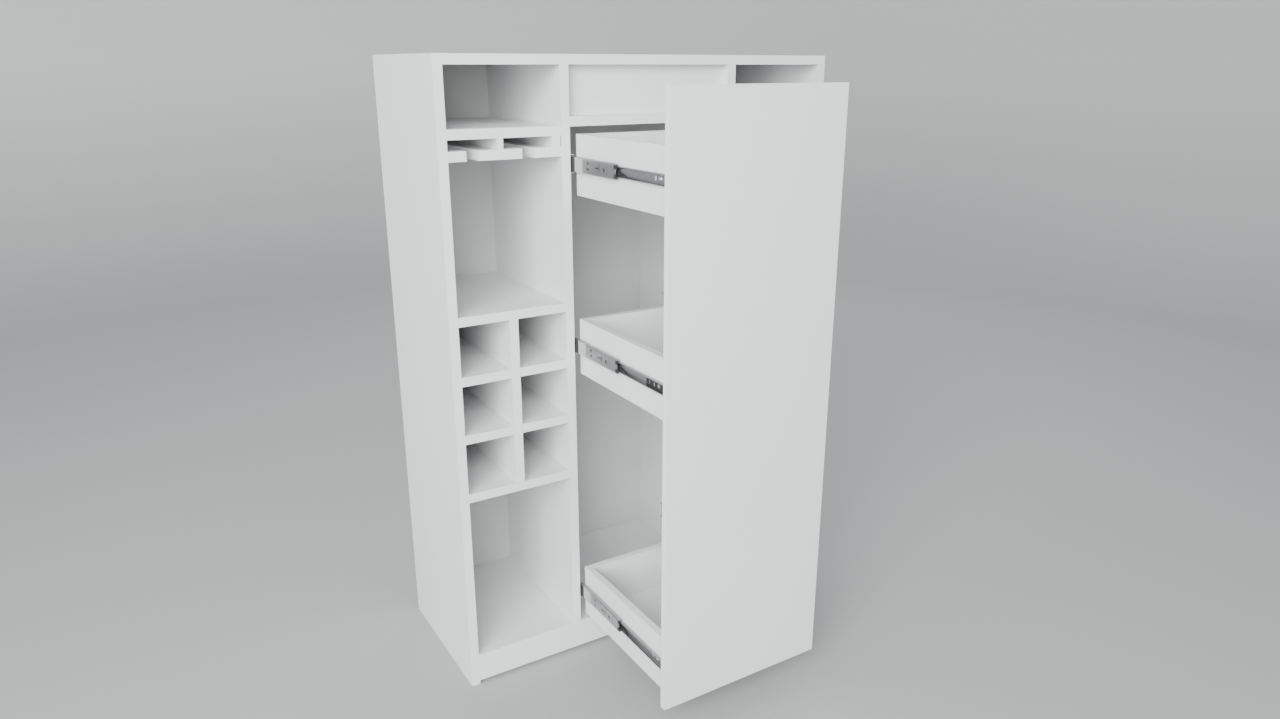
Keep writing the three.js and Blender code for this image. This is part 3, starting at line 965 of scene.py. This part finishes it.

# ---------------------------------------------------------------------------------------------------------
# Slides: stops and release levers
# On the middle member's outer face sit a black rubber bumper and a pale nylon guide, and two black lugs
# clip over its front end. The drawer member carries the release lever, pressed to lift a tray out, and a
# thin black tail that runs forward along the lower flange: painted shadow for the dark line along it.
# ---------------------------------------------------------------------------------------------------------
BUMPER = (0.134, 0.146)
BUMPER_THICKNESS = 0.0012
GUIDE = (0.106, 0.130)
GUIDE_THICKNESS = 0.0006
LUGS = (-0.0025, 0.0040)
LUG_START = 0.0038
LUG_INSET = 0.0018
LEVER_GAP = 0.0020
SHADOW_TAIL_THICKNESS = 0.0012
for side_name, side in SIDES:
    middle, drawer = [measured(kind, side_name, side) for kind in ("middle", "drawer")]
    front = middle.front
    half = middle.height / 2

    def build_bumper(bm):
        outline = chamfered(front + BUMPER[0], front + BUMPER[1], -half + 0.0006, half - 0.0006, cut=0.001)
        plate(bm, side, outline, middle.near - BUMPER_THICKNESS, middle.near)

    def build_guide(bm):
        outline = chamfered(front + GUIDE[0], front + GUIDE[1], -half + 0.0003, half - 0.0003, cut=0.0006)
        plate(bm, side, outline, middle.near - GUIDE_THICKNESS, middle.near)

    def build_retainer(bm):
        for sign in (1, -1):
            low, high = sorted((sign * LUG_START, sign * (half - LUG_INSET)))
            outline = chamfered(front + LUGS[0], front + LUGS[1], low, high, cut=0.0007)
            plate(bm, side, outline, middle.near - 0.0006, middle.near + SHEET + 0.0007)

    def build_lever_and_shadow_tail(bm):
        lower = -drawer.height / 2 + SHEET
        outline = [(front - 0.0220, lower + 0.0008), (front + 0.0030, lower + 0.0008),
                   (front + 0.0030, lower + 0.0070), (front - 0.0060, lower + 0.0076),
                   (front - 0.0120, lower + 0.0058), (front - 0.0220, lower + 0.0032)]
        plate(bm, side, outline, middle.near + SHEET + LEVER_GAP, slide_gap - SHEET - 0.0004)
        # The tail is painted shadow: a thin black strip for the dark line along the drawer member's lower
        # flange.
        shadow_tail = [(front - 0.0220, lower + 0.0008), (front - 0.0220, lower + 0.0026),
                (front - 0.0700, lower + 0.0014), (front - 0.1420, lower + 0.0011),
                (front - 0.1420, lower + 0.0005)]
        plate(bm, side, shadow_tail, drawer.near + 0.0003, drawer.near + 0.0003 + SHADOW_TAIL_THICKNESS)

    body = "{level}_{side}_slide_middle"
    pieces = [
        ("bumper", build_bumper, black_plastic, body),
        ("guide", build_guide, pale_nylon, body),
        ("retainer", build_retainer, black_plastic, body),
        ("release_lever", build_lever_and_shadow_tail, black_plastic, "pull_out"),
    ]
    for name, build, material, rides_on in pieces:
        place_in_slides(f"slide_{name}", side_name, mesh_from(name, build), material, rides_on)

# ---------------------------------------------------------------------------------------------------------
# Slides: front adjusters
# Only the middle tray's slides have them: a black perforated insert, clipped into the drawer member's
# front end, that lets the front panel be levelled.
# ---------------------------------------------------------------------------------------------------------
INSERT = (0.0160, 0.0620)
INSERT_THICKNESS = 0.0016
INSERT_FIT = 0.0002
RIBS = (0.0180, 0.0600)
RIB_HEIGHT = 0.0014
RIB_TOP = 0.0034
SQUARE_WINDOW = (0.0505, 0.0570)
for side_name, side in SIDES:
    drawer = measured("drawer", side_name, side)
    front = drawer.front
    half = drawer.height / 2 - SHEET - INSERT_FIT
    web_face = slide_gap - SHEET

    def build_adjuster(bm):
        outline = chamfered(front + INSERT[0], front + INSERT[1], -half, half, cut=0.0012)
        plate(bm, side, outline, web_face - INSERT_THICKNESS, web_face)
        for low, high in ((-half, -half + RIB_HEIGHT), (half - RIB_HEIGHT, half)):
            rib = rectangle(front + RIBS[0], front + RIBS[1], low, high)
            plate(bm, side, rib, web_face - RIB_TOP, web_face - 0.0012)

    def build_windows(bm):
        square = chamfered(front + SQUARE_WINDOW[0], front + SQUARE_WINDOW[1], -0.0030, 0.0040, cut=0.0008)
        windows = [
            round_hole(front + FRONT_SCREW, PUNCHED_UP, radius=0.0045),
            slot_hole(front + UPRIGHT_SLOT, PUNCHED_UP, length=0.0056, height=0.0090),
            square,
        ]
        for window in windows:
            plate(bm, side, window, web_face - 0.0050, web_face + PUNCH_OVER)

    mesh = cut_away(mesh_from("adjuster", build_adjuster), build_windows)
    place_in_slides("slide_adjuster", side_name, mesh, black_plastic, "pull_out", levels=("middle",))
